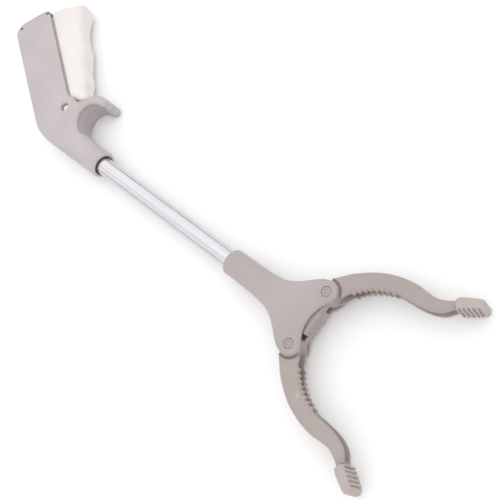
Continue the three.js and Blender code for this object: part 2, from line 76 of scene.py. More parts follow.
TUBE_RADIUS = (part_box("shaft_tube")[1].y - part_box("shaft_tube")[0].y) / 2 / MM
TUBE_WALL = 1.0
GAP = 0.3  # between pieces that fit into each other
PIVOT = (65.0, 18.9)  # the left jaw's pivot pin
PIN_RADIUS = 2.2
PIN_HEAD_RADIUS = 2.95
HINGE = (-184.0, -4.4)  # the trigger's hinge pin
HINGE_HOLE = 1.9
CLIP = (-170.3, 21.8)
CLIP_INNER = 11.1
CLIP_OUTER = 18.2
STOP_PIN = (-197.1, 17.8)
GRIP_END_RADIUS = 118.2  # about the trigger's hinge
TRIGGER_END_RADIUS = 115.2
TRIGGER_SWING = math.radians(13.46)
JAW_SWING = math.radians(34.5)
ROD_TRAVEL = 12.0
ROD_HOLE = 2.7
YOKE_PIN = (-212.0, 18.0)
CROSS_PIN = (62.9, 0.0)
SLOT_RADIUS = 1.85  # of the slots that the yoke pin and the crosshead pin run in

HANDLE_HALF = 10.3  # half thicknesses
HANDLE_INNER = 8.1
TRIGGER_HALF = 7.8
TRIGGER_INNER = 5.3
HEAD_HALF = 9.0
HEAD_INNER = 6.9
JAW_HALF = 6.4
PAD_HALF = 9.6

SOCKET_END = -141.0  # the handle's socket for the tube
SOCKET_RADIUS = 9.75
NECK_TOP = 9.8
NECK_FLOOR = -9.6
HEAD_START = -6.5
HEAD_RADIUS = 8.8

# The mechanism frame's origin, in the part's frame.
jaw_pivot = joint_place("jaw_left_close")
tube_middle = middle("shaft_tube")
ORIGIN = Vector((jaw_pivot.x - PIVOT[0] * MM, tube_middle.y, tube_middle.z))


# ---------------------------------------------------------------- outlines

def arc(centre, radius, start, stop, count=16):
    angles = np.radians(np.linspace(start, stop, count + 1))
    return [(centre[0] + radius * math.cos(a), centre[1] + radius * math.sin(a)) for a in angles]


def spline(points, per_span=6):
    """A smooth line through the points (Catmull-Rom)."""
    p = np.array(points, float)
    p = np.vstack([2 * p[0] - p[1], p, 2 * p[-1] - p[-2]])
    t = np.linspace(0, 1, per_span, endpoint=False)[:, None]
    line = []
    for a, b, c, d in zip(p[:-3], p[1:-2], p[2:-1], p[3:]):
        curve = 2 * b + (c - a) * t + (2 * a - 5 * b + 4 * c - d) * t ** 2
        curve = curve + (3 * b - a - 3 * c + d) * t ** 3
        line.extend(map(tuple, curve / 2))
    return line + [tuple(p[-2])]


def turned(point, centre, angle):
    dx, dy = point[0] - centre[0], point[1] - centre[1]
    c, s = math.cos(angle), math.sin(angle)
    return (centre[0] + c * dx - s * dy, centre[1] + s * dx + c * dy)


def mirrored(points):
    return [(x, -y) for x, y in reversed(points)]


class Outline:
    """The signed distance to a closed outline, kept on a fine grid and read back smoothly."""

    pitch = 0.4
    margin = 12.0

    def __init__(self, points):
        points = np.array(points, float)
        self.low = points.min(0) - self.margin
        size = np.ceil((points.max(0) + self.margin - self.low) / self.pitch).astype(int) + 1
        x = self.low[0] + self.pitch * np.arange(size[0])[:, None]
        y = self.low[1] + self.pitch * np.arange(size[1])[None, :]
        nearest = np.full(size, np.inf)
        inside = np.zeros(size, bool)
        for (ax, ay), (bx, by) in zip(points, np.roll(points, -1, axis=0)):
            ex, ey = bx - ax, by - ay
            if ex == 0 and ey == 0:
                continue
            part = np.clip(((x - ax) * ex + (y - ay) * ey) / (ex * ex + ey * ey), 0, 1)
            nearest = np.minimum(nearest, (x - ax - part * ex) ** 2 + (y - ay - part * ey) ** 2)
            if ey:
                inside ^= ((ay > y) != (by > y)) & (x < ax + (y - ay) * ex / ey)
        self.values = np.where(inside, -1, 1) * np.sqrt(nearest)

    def __call__(self, x, y):
        column = np.clip((x - self.low[0]) / self.pitch, 0, self.values.shape[0] - 1.001)
        row = np.clip((y - self.low[1]) / self.pitch, 0, self.values.shape[1] - 1.001)
        i, j = column.astype(int), row.astype(int)
        u, v = column - i, row - j
        near = self.values[i, j] * (1 - v) + self.values[i, j + 1] * v
        far = self.values[i + 1, j] * (1 - v) + self.values[i + 1, j + 1] * v
        return near * (1 - u) + far * u


# ---------------------------------------------------------------- distance fields

def smoothstep(start, stop, value):
    t = np.clip((value - start) / (stop - start), 0, 1)
    return t * t * (3 - 2 * t)


def join(a, b, blend=0.6):
    near = np.maximum(blend - np.abs(a - b), 0) / blend
    return np.minimum(a, b) - near * near * blend / 4


def meet(a, b, blend=0.6):
    return -join(-a, -b, blend)


def cut(a, b, blend=0.6):
    return meet(a, -b, blend)


def plate(flat, height, half, edge):
    """A flat shape with thickness 2 * half and its edges rounded to the radius edge."""
    out = flat + edge
    up = np.abs(height) - half + edge
    return np.minimum(np.maximum(out, up), 0) + np.hypot(np.maximum(out, 0), np.maximum(up, 0)) - edge


def disc(x, y, centre, radius):
    return np.hypot(x - centre[0], y - centre[1]) - radius


def post(x, y, z, centre, radius, low, high, edge=0.3):
    return plate(disc(x, y, centre, radius), z - (low + high) / 2, (high - low) / 2, edge)


def shaft(x, y, z, radius, low, high, edge=0.3):
    return plate(np.hypot(y, z) - radius, x - (low + high) / 2, (high - low) / 2, edge)


def slot_distance(x, y, path, radius):
    """A slot that a pin of that radius leaves along a path."""
    nearest = np.inf
    for (ax, ay), (bx, by) in zip(path[:-1], path[1:]):
        ex, ey = bx - ax, by - ay
        part = np.clip(((x - ax) * ex + (y - ay) * ey) / (ex * ex + ey * ey), 0, 1)
        nearest = np.minimum(nearest, np.hypot(x - ax - part * ex, y - ay - part * ey))
    return nearest - radius


# ---------------------------------------------------------------- from field to mesh

CORNERS = [(i, j, k) for i in (0, 1) for j in (0, 1) for k in (0, 1)]


def net_points(field, cells):
    """In each cell, the mean of the places where the field crosses zero on its edges."""
    total = np.zeros((len(cells), 3))
    hits = np.zeros((len(cells), 1))
    for corner in CORNERS:
        for axis in range(3):
            if corner[axis]:
                continue
            a = np.array(corner)
            b = a + np.eye(3, dtype=int)[axis]
            start = field[tuple((cells + a).T)]
            stop = field[tuple((cells + b).T)]
            crossing = ((start < 0) != (stop < 0))[:, None]
            share = (start / np.where(start == stop, 1, start - stop))[:, None]
            total += crossing * (a + share * (b - a))
            hits += crossing
    return cells + total / hits


def net_quads(inside, number):
    """One quad around each grid edge that passes through the surface."""
    quads = []
    for axis in range(3):
        u, v = np.roll(np.eye(3, dtype=int), -axis - 1, axis=0)[:2]
        change = np.diff(inside.astype(np.int8), axis=axis)
        start = np.argwhere(change)
        inner = np.ones(len(start), bool)
        for side in (int(np.argmax(u)), int(np.argmax(v))):
            inner &= (start[:, side] > 0) & (start[:, side] < inside.shape[side] - 1)
        start = start[inner]
        ring = np.stack([number[tuple((start - step).T)] for step in (0 * u, u, u + v, v)], axis=1)
        inward = change[tuple(start.T)] > 0
        ring[inward] = ring[inward][:, ::-1]
        quads.append(ring)
    return np.vstack(quads)


def settle(shape, points, reach):
    """Moves points onto the surface, and gives the surface's direction there."""
    step = 0.02
    for _ in range(3):
        value = shape(*points.T)
        slope = np.stack([(shape(*(points + step * e).T) - shape(*(points - step * e).T)) / (2 * step)
                          for e in np.eye(3)], axis=1)
        size = np.maximum((slope ** 2).sum(1), 0.3)
        points = points - np.clip(value / size, -reach, reach)[:, None] * slope
    return points, slope / np.maximum(np.linalg.norm(slope, axis=1, keepdims=True), 1e-6)


def surface_net(shape, low, high, cell):
    """Vertices and quads of the surface of a distance field in the box from low to high."""
    low = np.array(low, float) - 2 * cell
    count = np.ceil((np.array(high) + 2 * cell - low) / cell).astype(int) + 1
    axes = [low[i] + cell * np.arange(count[i]) for i in range(3)]
    x, y, z = axes[0][:, None, None], axes[1][None, :, None], axes[2][None, None, :]
    field = np.broadcast_to(shape(x, y, z), tuple(count)).astype(float)
    inside = field < 0
    filled = sum(inside[i:count[0] - 1 + i, j:count[1] - 1 + j, k:count[2] - 1 + k].astype(np.int8)
                 for i, j, k in CORNERS)
    cells = np.argwhere((filled > 0) & (filled < 8))
    number = np.full(filled.shape, -1)
    number[tuple(cells.T)] = np.arange(len(cells))
    points = low + cell * net_points(field, cells)
    return settle(shape, points, cell / 2)[0], net_quads(inside, number)


def thinned(mesh, keep):
    """The mesh with a share of its triangles, fewest where it is flat."""
    carrier = bpy.data.objects.new("carrier", mesh)
    bpy.context.scene.collection.objects.link(carrier)
    modifier = carrier.modifiers.new("thin", "DECIMATE")
    modifier.ratio = keep
    graph = bpy.context.evaluated_depsgraph_get()
    result = bpy.data.meshes.new_from_object(carrier.evaluated_get(graph))
    bpy.data.objects.remove(carrier)
    bpy.data.meshes.remove(mesh)
    return result


def to_part(points):
    return np.array(points) * MM + np.array(ORIGIN)


def finished(name, mesh, material, body, nodes):
    """Puts a mesh that is in the part's frame into the scene, in place of CAD nodes."""
    mesh.name = name
    mesh.materials.clear()
    mesh.materials.append(material)
    piece = bpy.data.objects.new(name, mesh)
    bpy.context.scene.collection.objects.link(piece)
    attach(piece, body)
    if nodes:
        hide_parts(*nodes)
    return piece


def moulded(name, shape, low, high, cell, keep, material, slot, body, nodes):
    """A piece made from its distance field."""
    points, quads = surface_net(shape, low, high, cell)
    mesh = bpy.data.meshes.new(name)
    mesh.from_pydata(points.tolist(), [], quads.tolist())
    mesh.update()
    mesh = thinned(mesh, keep)
    points = np.zeros(len(mesh.vertices) * 3)
    mesh.vertices.foreach_get("co", points)
    points, slope = settle(shape, points.reshape(-1, 3), cell / 3)
    mesh.vertices.foreach_set("co", to_part(points).ravel())
    mesh.polygons.foreach_set("use_smooth", np.ones(len(mesh.polygons), bool))
    mesh.update()
    mesh.normals_split_custom_set_from_vertices(slope.tolist())
    return finished(name, mesh, material, body, nodes)


def lathe(name, profile, place, axis, material, body, nodes, count=64):
    """A round piece: profile holds (distance along the axis, radius), from one end to the other."""
    points, faces = [], []
    angles = np.linspace(0, 2 * math.pi, count, endpoint=False)
    for along, radius in profile:
        ring = [(radius * math.cos(a), radius * math.sin(a)) for a in angles]
        points.extend((along, u, v) if axis == "x" else (u, v, along) for u, v in ring)
    rows = len(profile)
    closed = profile[0] == profile[-1]
    for row in range(rows - 1):
        here, there = row * count, ((row + 1) % (rows - closed)) * count
        for i in range(count):
            after = (i + 1) % count
            faces.append((here + i, there + i, there + after, here + after))
    if closed:
        points = points[:-count]
    mesh = bpy.data.meshes.new(name)
    mesh.from_pydata(to_part(np.array(points) + np.array(place)).tolist(), [], faces)
    weld(mesh)
    return finished(name, mesh, material, body, nodes)


def weld(mesh, reach=1e-6, sharp=math.radians(35)):
    """Joins vertices that coincide, points the faces outwards and shades round stretches smooth."""
    work = bmesh.new()
    work.from_mesh(mesh)
    bmesh.ops.remove_doubles(work, verts=work.verts, dist=reach)
    bmesh.ops.recalc_face_normals(work, faces=work.faces)
    work.to_mesh(mesh)
    work.free()
    mesh.shade_smooth()
    mesh.set_sharp_from_angle(angle=sharp)


# ---------------------------------------------------------------- materials

def shader(name):
    material = bpy.data.materials.new(name)
    material.use_nodes = True
    tree = material.node_tree
    return material, tree, tree.nodes["Principled BSDF"]


def noise(tree, scale, detail=3.0, roughness=0.5, stretch=(1, 1, 1)):
    """Noise fixed to the piece, scale in features per metre."""
    place = tree.nodes.new("ShaderNodeTexCoord")
    mapping = tree.nodes.new("ShaderNodeMapping")
    mapping.inputs["Scale"].default_value = stretch
    texture = tree.nodes.new("ShaderNodeTexNoise")
    texture.inputs["Scale"].default_value = scale
    texture.inputs["Detail"].default_value = detail
    texture.inputs["Roughness"].default_value = roughness
    tree.links.new(place.outputs["Object"], mapping.inputs["Vector"])
    tree.links.new(mapping.outputs["Vector"], texture.inputs["Vector"])
    return texture.outputs["Fac"]


def ramp(tree, value, stops):
    node = tree.nodes.new("ShaderNodeValToRGB")
    while len(node.color_ramp.elements) < len(stops):
        node.color_ramp.elements.new(0.5)
    for element, (place, colour) in zip(node.color_ramp.elements, stops):
        element.position = place
        element.color = colour if len(colour) == 4 else (*colour, 1)
    tree.links.new(value, node.inputs["Fac"])
    return node.outputs["Color"]


def mix(tree, share, a, b, blend="MIX"):
    node = tree.nodes.new("ShaderNodeMix")
    node.data_type = "RGBA"
    node.blend_type = blend
    for socket, value in ((node.inputs["Factor"], share), (node.inputs["A"], a), (node.inputs["B"], b)):
        if isinstance(value, bpy.types.NodeSocket):
            tree.links.new(value, socket)
        else:
            socket.default_value = value
    return node.outputs["Result"]


def bump(tree, shape, height, below=None):
    node = tree.nodes.new("ShaderNodeBump")
    node.inputs["Distance"].default_value = height
    tree.links.new(shape, node.inputs["Height"])
    if below:
        tree.links.new(below, node.inputs["Normal"])
    return node.outputs["Normal"]


def linear(red, green, blue):
    """A linear colour from 8-bit screen values."""
    steps = [v / 255 for v in (red, green, blue)]
    return (*(v / 12.92 if v <= 0.04045 else ((v + 0.055) / 1.055) ** 2.4 for v in steps), 1)


def grey(value):
    return (value, value, value)


def edge_highlight_mask(tree, start, stop):
    """White on sharp convex edges, where a highlight is painted."""
    geometry = tree.nodes.new("ShaderNodeNewGeometry")
    return ramp(tree, geometry.outputs["Pointiness"], [(start, grey(0)), (stop, grey(1))])


def plastic(name, colour, roughness, grain=2600, depth=0.00006, edge_highlight=0.06):
    """Moulded plastic: fine spark-eroded grain, slow shade changes from the moulding, a painted highlight
    on its sharp edges.
    """
    material, tree, surface = shader(name)
    pale = tuple(min(v * 1.06 + 0.004, 1) for v in colour[:3]) + (1,)
    deep = tuple(v * 0.93 for v in colour[:3]) + (1,)
    flow = noise(tree, 28, 4)
    shade = ramp(tree, flow, [(0.3, deep), (0.7, pale)])
    specks = ramp(tree, noise(tree, 900, 2), [(0.42, grey(0.97)), (0.6, grey(1))])
    shade = mix(tree, 1.0, shade, specks, "MULTIPLY")
    # Painted highlight: sharp convex edges are lightened towards a paler colour.
    light = tuple(min(v * (1 + edge_highlight) + edge_highlight * 0.3, 1) for v in colour[:3]) + (1,)
    shade = mix(tree, edge_highlight_mask(tree, 0.52, 0.62), shade, light)
    tree.links.new(shade, surface.inputs["Base Color"])
    gloss = ramp(tree, noise(tree, 160, 3), [(0.3, grey(roughness - 0.06)), (0.7, grey(roughness + 0.06))])
    tree.links.new(gloss, surface.inputs["Roughness"])
    waves = bump(tree, noise(tree, 120, 2), 0.0001)
    tree.links.new(bump(tree, noise(tree, grain, 3, 0.6), depth, waves), surface.inputs["Normal"])
    return material


def metal(name, colour, roughness, along=(1, 1, 1), grain=1500, depth=0.00002):
    """Drawn metal: fine streaks along one direction, with a little tarnish."""
    material, tree, surface = shader(name)
    surface.inputs["Metallic"].default_value = 1.0
    dull = tuple(v * 0.86 for v in colour[:3]) + (1,)
    streaks = noise(tree, grain, 4, 0.6, along)
    tree.links.new(ramp(tree, streaks, [(0.3, dull), (0.7, colour)]), surface.inputs["Base Color"])
    tarnish = noise(tree, 90, 4, 0.6, along)
    gloss = ramp(tree, tarnish, [(0.3, grey(roughness - 0.05)), (0.7, grey(roughness + 0.08))])
    tree.links.new(gloss, surface.inputs["Roughness"])
    tree.links.new(bump(tree, streaks, depth), surface.inputs["Normal"])
    return material


HANDLE_GREY = plastic("handle_grey_plastic", linear(183, 174, 175), 0.5)
HEAD_GREY = plastic("head_grey_plastic", linear(169, 159, 158), 0.5)
# The jaws get a stronger painted edge highlight.
JAW_GREY = plastic("jaw_grey_plastic", linear(164, 153, 149), 0.5, edge_highlight=0.14)
PAD_GREY = plastic("pad_grey_rubber", linear(177, 166, 162), 0.72, grain=1800, depth=0.00012)
IVORY = plastic("trigger_ivory_plastic", linear(226, 220, 217), 0.42)
NYLON = plastic("nylon_white", linear(240, 236, 230), 0.45)
ALUMINIUM = metal("drawn_aluminium", linear(213, 211, 215), 0.16, (0.02, 1, 1))
STEEL = metal("bright_steel", linear(190, 190, 194), 0.32, (0.05, 1, 1))
BRASS = metal("turned_brass", linear(206, 176, 112), 0.35, (1, 0.1, 0.1))


# ---------------------------------------------------------------- handle

PAST_END = 20  # how far an outline runs past the end that a later cut gives it
GRIP_FRONT = ((-272.9, 72.0), (-204.7, 27.9))  # the grip's straight front edge, from its far end
GRIP_EDGE = 2.4
FRONT_SHARPER = 2.0  # how much smaller the rounding is along the front edge
NECK_SCREW = (-174.6, 5.6)
HANDLE_SCREW = (-149.5, 0.0)
HANDLE_TUBE_STOP = -157.6
MOUTH = (1.0, 2.6)  # how much wider the socket is at its mouth, and how deep
BOSS_HALF = 8.5
STOP_PIN_BOSS, STOP_PIN_HOLE = 4.3, 3.2
NECK_SCREW_BOSS = 2.6
CORNER_HOLES = ((-285.1, 48.0), (-271.3, 69.0))
CORNER_HOLE_RADIUS, CORNER_HOLE_FLOOR = 1.15, 6.0

# Screw holes, each as its place, radius, low end, high end and edge rounding.
HANDLE_UPPER_HOLES = ((NECK_SCREW, 1.3, -2, 6.3, 0.3),)
HANDLE_LOWER_HOLES = ((NECK_SCREW, 1.3, -12, 2, 0.3), (NECK_SCREW, 2.5, -14, -8.7, 0.2),
                      (HANDLE_SCREW, 1.5, -12, -5, 0.3), (HANDLE_SCREW, 2.6, -14, -8.3, 0.2))


def drilled(solid, x, y, z, holes):
    for hole in holes:
        solid = cut(solid, post(x, y, z, *hole))
    return solid


def grip_outline():
    far, near = GRIP_FRONT
    front_angle = math.degrees(math.atan2(far[1] - HINGE[1], far[0] - HINGE[0]))
    back_bend = [(-176.0, NECK_FLOOR), (-191.5, NECK_FLOOR), (-205.4, -7.4), (-214.4, -3.1), (-226, 4.0)]
    back_corner = [(-270, 30.9), (-284.5, 39.8), (-288.4, 44.0), (-288.6, 49.5), (-287.2, 54.3), (-284, 59)]
    clip_tip = [(-169.0, 40.0), (-167.2, 39.4), (-165.9, 37.6), (-165.8, 35.4), (-166.9, 33.7),
                (-168.8, 32.8)]
    return [
        (SOCKET_END + PAST_END, NECK_FLOOR),
        *spline(back_bend)[6:-6],
        *spline(back_corner)[6:-6],
        *arc(HINGE, GRIP_END_RADIUS, 150.4, front_angle + 1.6, 20),
        *spline([(-274.5, 69.9), (-273.0, 71.2), (-271.2, 70.9), (-268, 68.9)], 3),
        near,
        (-202.0, 26.7),
        (-190.4, 26.4),
        *arc(CLIP, CLIP_OUTER, 158, 86, 24),
        *spline(clip_tip, 3),
        *arc(CLIP, CLIP_INNER, 84, 268, 50),
        (-164, NECK_TOP),
        (SOCKET_END + PAST_END, NECK_TOP),
    ]


def back_wall_inside():
    """The line along the inside of the grip's back, from the neck round to its far end."""
    return [
        (-178, -8.0),
        (-192, -8.0),
        (-204.5, -5.3),
        (-213.2, -1.2),
        (-280.5, 40.0),
        (-284.4, 44.4),
        (-284.9, 49.5),
        *arc(HINGE, GRIP_END_RADIUS - 2.4, 150.6, 137, 12),
    ]


def handle_cavity_outline():
    return [
        *back_wall_inside(),
        (-262, 84),
        (-200, 46),
        (-190.6, 31.5),
        (-190.6, 26.4),
        *arc(CLIP, CLIP_INNER + 2.6, 164, 232, 10),
        (-177, 7.6),
        (-175.5, 6.5),
        (-175.5, -6.5),
        (-177, -8.0),
    ]


GRIP = Outline(grip_outline())
HANDLE_CAVITY = Outline(handle_cavity_outline())


def front_depth(x, y):
    """How far a point lies behind the grip's straight front edge."""
    (ax, ay), (bx, by) = GRIP_FRONT
    length = math.hypot(bx - ax, by - ay)
    return ((x - ax) * (by - ay) - (y - ay) * (bx - ax)) / length


def clip_recess(x, y, z):
    """A shallow recess inside the clip, under its upper rim; it fades out towards the open side."""
    depth, top, reach = 1.7, 8.4, 7
    recess = disc(x, y, CLIP, CLIP_INNER + depth * smoothstep(-1, 6, z))
    recess = meet(recess, z - top, 0.5)
    return meet(recess, 0.5 * (x - CLIP[0] + 0.4 * (CLIP[1] - y) - reach), 0.8)


def handle_solid(x, y, z):
    """Both halves of the handle in one, before they are parted."""
    neck = smoothstep(-184, -150, x) * smoothstep(15, 9.5, y)
    front = smoothstep(4.0, 0.8, front_depth(x, y)) * smoothstep(-188, -194, x)
    edge = GRIP_EDGE + (SOCKET_RADIUS - GRIP_EDGE) * neck - FRONT_SHARPER * front
    half = HANDLE_HALF + (SOCKET_RADIUS - HANDLE_HALF) * neck
    solid = meet(plate(GRIP(x, y), z, half, edge), x - SOCKET_END, GRIP_EDGE)
    solid = cut(solid, plate(HANDLE_CAVITY(x, y), z, HANDLE_INNER, 0.6))
    solid = join(solid, post(x, y, z, STOP_PIN, STOP_PIN_BOSS, -BOSS_HALF, BOSS_HALF))
    solid = join(solid, post(x, y, z, NECK_SCREW, NECK_SCREW_BOSS, -BOSS_HALF, BOSS_HALF))
    solid = cut(solid, disc(x, y, STOP_PIN, STOP_PIN_HOLE))
    closed_near_faces = 20 * smoothstep(9.0, 9.3, np.abs(z))
    solid = cut(solid, disc(x, y, HINGE, HINGE_HOLE) + closed_near_faces)
    solid = cut(solid, clip_recess(x, y, z), 0.6)
    outside = SOCKET_END + 5
    wider, deep = MOUTH
    solid = cut(solid, shaft(x, y, z, TUBE_RADIUS + GAP, HANDLE_TUBE_STOP, outside, 0.2))
    solid = cut(solid, shaft(x, y, z, TUBE_RADIUS + wider, SOCKET_END - deep, outside, 0.2))
    solid = cut(solid, shaft(x, y, z, ROD_HOLE, -165, -157, 0.2))
    for hole in CORNER_HOLES:
        solid = cut(solid, post(x, y, z, hole, CORNER_HOLE_RADIUS, CORNER_HOLE_FLOOR, 14, 0.2), 0.3)
    return solid


def handle_upper(x, y, z):
    solid = drilled(handle_solid(x, y, z), x, y, z, HANDLE_UPPER_HOLES)
    return meet(solid, GAP / 2 - z, 0.3)


def handle_lower(x, y, z):
    solid = drilled(handle_solid(x, y, z), x, y, z, HANDLE_LOWER_HOLES)
    return meet(solid, z + GAP / 2, 0.3)


def make_handle():
    low, high = (-289, -10.2, -10.5), (SOCKET_END + 0.5, 72.5, 10.5)
    moulded("handle_half_upper", handle_upper, (*low[:2], 0), high, 0.55, 0.4,
            HANDLE_GREY, "handle_plastic", "handle", ["handle_shell_upper"])
    moulded("handle_half_lower", handle_lower, low, (*high[:2], 0), 0.55, 0.4,
            HANDLE_GREY, "handle_plastic", "handle", ["handle_shell_lower"])


def make_stop_pin():
    """A nylon pin ties the two halves together and stops the trigger at rest."""
    low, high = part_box("stop_pin")
    half, radius = (high.z - low.z) / 2 / MM, (high.x - low.x) / 2 / MM
    chamfer = 0.5
    end = [(half, r) for r in np.linspace(0, radius - chamfer, 4)] + [(half - chamfer, radius)]
    profile = [*end, *((-along, r) for along, r in reversed(end))]
    place = ((low + high) / 2 - ORIGIN) / MM
    lathe("stop_pin_turned", profile, place, "z", NYLON, "handle", ["stop_pin"])


# ---------------------------------------------------------------- trigger

HUB_RADIUS = 3.2  # the trigger's end, around its hinge pin
FINGERS = [(-250.9, 89.5), (-248.9, 90.4), (-246.3, 89.0), (-243.3, 85.2), (-237.8, 76.8), (-230.2, 69.3),
           (-220.3, 63.1), (-213, 55.8), (-207.4, 49.7), (-199.4, 43.6), (-195.6, 38.4)]
FINGER_LINE = (-226, 52)  # a point between the side face and the soft front
FINGER_WAY = (0.72, 0.69)  # the way that the front faces


def yoke_pin_path(count=8):
    """Where the yoke pin runs in the trigger, as the trigger swings in and the rod is drawn back."""
    places = [(YOKE_PIN[0] - ROD_TRAVEL * i / count, YOKE_PIN[1]) for i in range(count + 1)]
    return [turned(place, HINGE, -TRIGGER_SWING * i / count) for i, place in enumerate(places)]


def trigger_outline():
    clearance = 0.63
    rear = [turned(point, HINGE, -TRIGGER_SWING) for point in back_wall_inside()[1:5]]
    boss = turned(STOP_PIN, HINGE, -TRIGGER_SWING)
    return [
        (HINGE[0], HINGE[1] - HUB_RADIUS),
        *[(x + clearance, y + clearance) for x, y in rear],
        (-269.2, 66.8),
        (-268.9, 71.2),
        *arc(HINGE, TRIGGER_END_RADIUS, 137, 126.2, 16),
        *spline(FINGERS, 8),
        *arc(CLIP, CLIP_OUTER + 0.5, 144, 158, 6),
        (-191.6, boss[1] + 6.4),
        (-197.5, boss[1] + 5.4),
        *arc(STOP_PIN, 5.1, 110, 265, 14),
        (-191, 9.5),
        *arc(HINGE, HUB_RADIUS, 60, -80, 10),
    ]


def trigger_hollow_outline():
    front = [(-240.4, 75.4), (-232.2, 67.4), (-222.4, 60.8), (-209.8, 48.0), (-199.4, 37.0), (-196.5, 29)]
    return [
        (-170, -20),
        (-290, -20),
        (-290, 55),
        (-268, 66),
        *arc(HINGE, TRIGGER_END_RADIUS - 2.4, 136.5, 127.6, 10),
        *spline(front, 5),
        (-170, 29),
    ]


TRIGGER = Outline(trigger_outline())
TRIGGER_HOLLOW = Outline(trigger_hollow_outline())


def trigger_relief(x, y, z):
    """A groove in both side faces, along the grip's front edge."""
    middle_depth, half_width, floor = 0.2, 1.3, 6.6
    return meet(np.abs(front_depth(x, y) - middle_depth) - half_width, floor - np.abs(z), 0.3)


def trigger_solid(x, y, z):
    """The trigger, with small edges beside the grip and soft ones under the fingers."""
    forward = (x - FINGER_LINE[0]) * FINGER_WAY[0] + (y - FINGER_LINE[1]) * FINGER_WAY[1]
    edge = 0.9 + 2.9 * smoothstep(-6, 6, forward)
    solid = plate(TRIGGER(x, y), z, TRIGGER_HALF, edge)
    solid = cut(solid, plate(TRIGGER_HOLLOW(x, y), z, TRIGGER_INNER, 0.8))
    solid = cut(solid, trigger_relief(x, y, z), 0.5)
    solid = cut(solid, slot_distance(x, y, yoke_pin_path(), SLOT_RADIUS), 0.4)
    return cut(solid, disc(x, y, HINGE, HINGE_HOLE), 0.4)


def make_trigger():
    moulded("trigger_moulding", trigger_solid, (-270.5, -9, -8), (-179.5, 92, 8), 0.55, 0.4,
            IVORY, "trigger_plastic", "trigger", ["trigger"])


# ---------------------------------------------------------------- shaft

def span_along_shaft(node):
    """The two ends of a CAD node along the shaft's axis."""
    low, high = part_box(node)
    return (low.x - ORIGIN.x) / MM, (high.x - ORIGIN.x) / MM


def make_shaft():
    start, stop = span_along_shaft("shaft_tube")
    bore = TUBE_RADIUS - TUBE_WALL
    ease = 0.2
    wall = [(ease, bore), (0, bore + ease), (0, TUBE_RADIUS - ease), (ease, TUBE_RADIUS)]
    first = [(start + inwards, radius) for inwards, radius in wall]
    last = [(stop - inwards, radius) for inwards, radius in reversed(wall)]
    lathe("shaft_drawn_tube", [*first, *last, first[0]], (0, 0, 0), "x",
          ALUMINIUM, "handle", ["shaft_tube"], count=96)


def coil_mesh(start, stop, radius, wire, turns, steps_per_turn=24, sides=8):
    """Round wire wound about the shaft's axis, with flat ends."""
    steps = turns * steps_per_turn
    points, faces = [], []
    for i in range(steps + 1):
        turn = 2 * math.pi * turns * i / steps
        along = start + wire + (stop - start - 2 * wire) * i / steps
        for j in range(sides):
            a = 2 * math.pi * j / sides
            reach = radius + wire * math.cos(a)
            points.append((along + wire * math.sin(a), reach * math.cos(turn), reach * math.sin(turn)))
    for i in range(steps):
        for j in range(sides):
            k = (j + 1) % sides
            faces.append((i * sides + j, i * sides + k, (i + 1) * sides + k, (i + 1) * sides + j))
    faces.append(tuple(reversed(range(sides))))
    faces.append(tuple(steps * sides + j for j in range(sides)))
    mesh = bpy.data.meshes.new("spring_coil")
    mesh.from_pydata(to_part(points).tolist(), [], faces)
    weld(mesh)
    return mesh


def make_return_spring():
    """A coil spring around the rod; it is pressed shorter as the trigger draws the rod back."""
    low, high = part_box("return_spring")
    wire = 0.5
    radius = (high.y - low.y) / 2 / MM - wire
    start, stop = span_along_shaft("return_spring")
    mesh = coil_mesh(start, stop, radius, wire, turns=9)
    coil = finished("spring_coil", mesh, STEEL, "handle", ["return_spring"])
    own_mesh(coil)


# ---------------------------------------------------------------- head

NECK_HALF = 8.75  # half height of the head's neck in its outline
HEAD_EDGE = 1.7
HEAD_TUBE_STOP = 13.6
PIN_RECESS_FLOOR = 8.0
HEAD_TUBE_SCREW = (5.0, 0.0)
HEAD_SCREW = (20.5, 5.2)
HEAD_UPPER_HOLES = ((HEAD_SCREW, 1.2, -2, 4.8, 0.3),)
HEAD_LOWER_HOLES = ((HEAD_TUBE_SCREW, 1.5, -12, -5, 0.3), (HEAD_TUBE_SCREW, 2.6, -14, -7.4, 0.2),
                    (HEAD_SCREW, 1.2, -14, 2, 0.3), (HEAD_SCREW, 2.4, -14, -5.2, 0.2))


def head_outline():
    """A round neck that spreads to two ears, with a round mouth between them."""
    flank = [(10, NECK_HALF), (22, 8.9), (31, 9.5), (38.5, 10.8), (46, 14.7), (53, 20.3), (58.4, 24.2),
             (61.9, 25.5)]
    half = [*spline(flank), *arc(PIVOT, 7.3, 112, -29, 24), *arc((89.7, 0), 23.8, 147, 180, 12)]
    rear = HEAD_START - PAST_END
    return [(rear, NECK_HALF), *half, *mirrored(half)[1:], (rear, -NECK_HALF)]


def head_cavity_outline():
    half = [(24, 5.2), (31, 6.9), (37.5, 8.3), (44.8, 12.2), (51.6, 17.8), (56.8, 21.8), (56.8, 36),
            (90, 36)]
    return [*half, *mirrored(half)]


HEAD = Outline(head_outline())
HEAD_CAVITY = Outline(head_cavity_outline())


